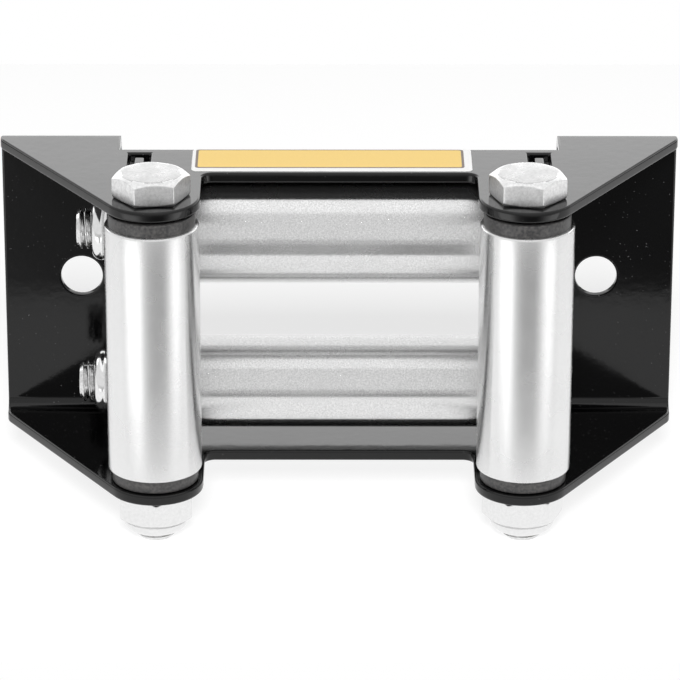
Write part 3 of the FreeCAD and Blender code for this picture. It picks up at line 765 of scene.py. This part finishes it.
flat_sheet("floor", [(-FLOOR_HALF, FLOOR_NEAR, FLOOR_LEVEL), (FLOOR_HALF, FLOOR_NEAR, FLOOR_LEVEL),
                     (FLOOR_HALF, FLOOR_FAR, FLOOR_LEVEL), (-FLOOR_HALF, FLOOR_FAR, FLOOR_LEVEL)],
           backdrop_finish("white_paper", 0.86))

# Rings of soft light round the set, which only reflections show.  Each has its lowest and highest
# elevation in degrees and its reach in millimetres, then its brightness, in times paper white, at
# azimuths from the camera's side (0) towards the right (90), with an even change between two.
RINGS = [
    ("low_ring", -88, -12, 600, [
        (-180, 0.5), (-150, 0.45), (-90, 0.6), (-78, 1.1), (-67, 1.7), (-60, 2.3), (-38, 2.3),
        (-30, 1.6), (-21, 0.75), (-12, 0.38), (-3, 0.22), (6, 0.16), (20, 0.16), (26, 0.28),
        (34, 0.7), (45, 1.6), (54, 2.3), (68, 2.4), (82, 2.3), (97, 1.9), (121, 1.2), (150, 0.95),
        (180, 0.6)]),
    ("level_ring", -12.5, -2.5, 604, [
        (-150, 0.75), (-80, 0.8), (-60, 0.7), (-20, 0.6), (40, 0.6), (80, 0.6), (110, 0.7),
        (150, 0.7)]),
    ("sky_ring", -3, 49, 600, [(-110, 0.88), (110, 0.88)]),
    ("high_ring", 48.5, 72.5, 604, [(-110, 1.2), (110, 1.2)]),
    ("overhead_ring", 72, 90, 600, [(-180, 1.25), (180, 1.25)]),
    ("rear_sky_ring", 13, 28, 600, [(112, 2.2), (248, 2.2)]),
    ("rear_dark_ring_right", -20, 9, 580, [(110, 0.12), (168, 0.12)]),
    ("rear_dark_ring_left", -20, 9, 580, [(192, 0.12), (250, 0.12)]),
]


def ring(name, low, high, reach, stops):
    """A band of a sphere round the object that shines softly and is seen in reflections alone."""
    material, tree, strength = glow_finish(name)
    shine = add(tree, "ShaderNodeAttribute", attribute_name="brightness")
    tree.links.new(shine.outputs["Fac"], strength)
    azimuths, levels = zip(*stops)
    face_width, face_height = 3, 6
    across = int((azimuths[-1] - azimuths[0]) / face_width)
    up = max(2, int((high - low) / face_height))
    points, faces, shines = [], [], []
    for i in range(across + 1):
        degrees = azimuths[0] + (azimuths[-1] - azimuths[0]) * i / across
        azimuth = math.radians(degrees)
        for k in range(up + 1):
            elevation = math.radians(low + (high - low) * k / up)
            outward = Vector((math.sin(azimuth) * math.cos(elevation),
                              -math.cos(azimuth) * math.cos(elevation), math.sin(elevation)))
            points.append(outward * reach * MM)
            shines.append(float(np.interp(degrees, azimuths, levels)))
    for i in range(across):
        for k in range(up):
            start = i * (up + 1) + k
            faces.append((start, start + up + 1, start + up + 2, start + 1))
    mesh = bpy.data.meshes.new(name)
    mesh.from_pydata(points, [], faces)
    mesh.attributes.new("brightness", "FLOAT", "POINT").data.foreach_set("value", shines)
    band = link_mesh(name, mesh)
    mesh.materials.append(material)
    reflected_only(band)


for row in RINGS:
    ring(*row)

# A white card behind the window: the level rollers see it where the rear ring would glare.
card_finish, _, card_strength = glow_finish("window_card")
card_strength.default_value = 1.05
reflected_only(flat_sheet("window_card", [(-150, 60, 12), (150, 60, 12), (150, 60, 48),
                                          (-150, 60, 48)], card_finish))


def softbox(name, place, width, height, level):
    """An area lamp for the matt surfaces alone, of the given brightness."""
    data = bpy.data.lights.new(name, "AREA")
    data.shape = "RECTANGLE"
    data.size, data.size_y = width * MM, height * MM
    data.energy = level * math.pi * data.size * data.size_y
    lamp = bpy.data.objects.new(name, data)
    bpy.context.scene.collection.objects.link(lamp)
    lamp.location = Vector(place) * MM
    towards_origin = Vector((0, 0, 0)) - Vector(place)
    lamp.rotation_euler = towards_origin.to_track_quat("-Z", "Y").to_euler()
    lamp.visible_camera = False
    lamp.visible_glossy = False


softbox("left_softbox", (-600, -350, 300), 500, 400, 0.4)
softbox("right_softbox", (600, -350, 300), 500, 400, 0.4)
softbox("overhead_softbox", (0, -150, 700), 900, 700, 0.16)
softbox("front_softbox", (0, -1400, 920), 360, 360, 79.0)

world = bpy.data.worlds.new("studio")
bpy.context.scene.world = world
sky = bare_tree(world)
ambient, white = add(sky, "ShaderNodeBackground"), add(sky, "ShaderNodeBackground")
for background, level in ((ambient, 0.25), (white, 1.0)):
    background.inputs["Color"].default_value = (1, 1, 1, 1)
    background.inputs["Strength"].default_value = level
by_ray(sky, ambient.outputs[0], white.outputs[0], "ShaderNodeOutputWorld")

# The camera: its place in millimetres, and its turns in degrees.
CAMERA_PLACE = (-2.672, -1014.96, 396.44)
PITCH, YAW, ROLL = 22.195, 0.167, 0.102
camera = bpy.data.objects.new("camera", bpy.data.cameras.new("camera"))
bpy.context.scene.collection.objects.link(camera)
camera.data.lens = 238.6
camera.data.sensor_width = 36
camera.data.clip_start, camera.data.clip_end = 0.05, 50
camera.matrix_world = (Matrix.Translation(Vector(CAMERA_PLACE) * MM)
                       @ Matrix.Rotation(math.radians(-YAW), 4, "Z")
                       @ Matrix.Rotation(math.radians(90 - PITCH), 4, "X")
                       @ Matrix.Rotation(math.radians(ROLL), 4, "Z"))
bpy.context.scene.camera = camera
bpy.context.scene.view_settings.view_transform = "Standard"
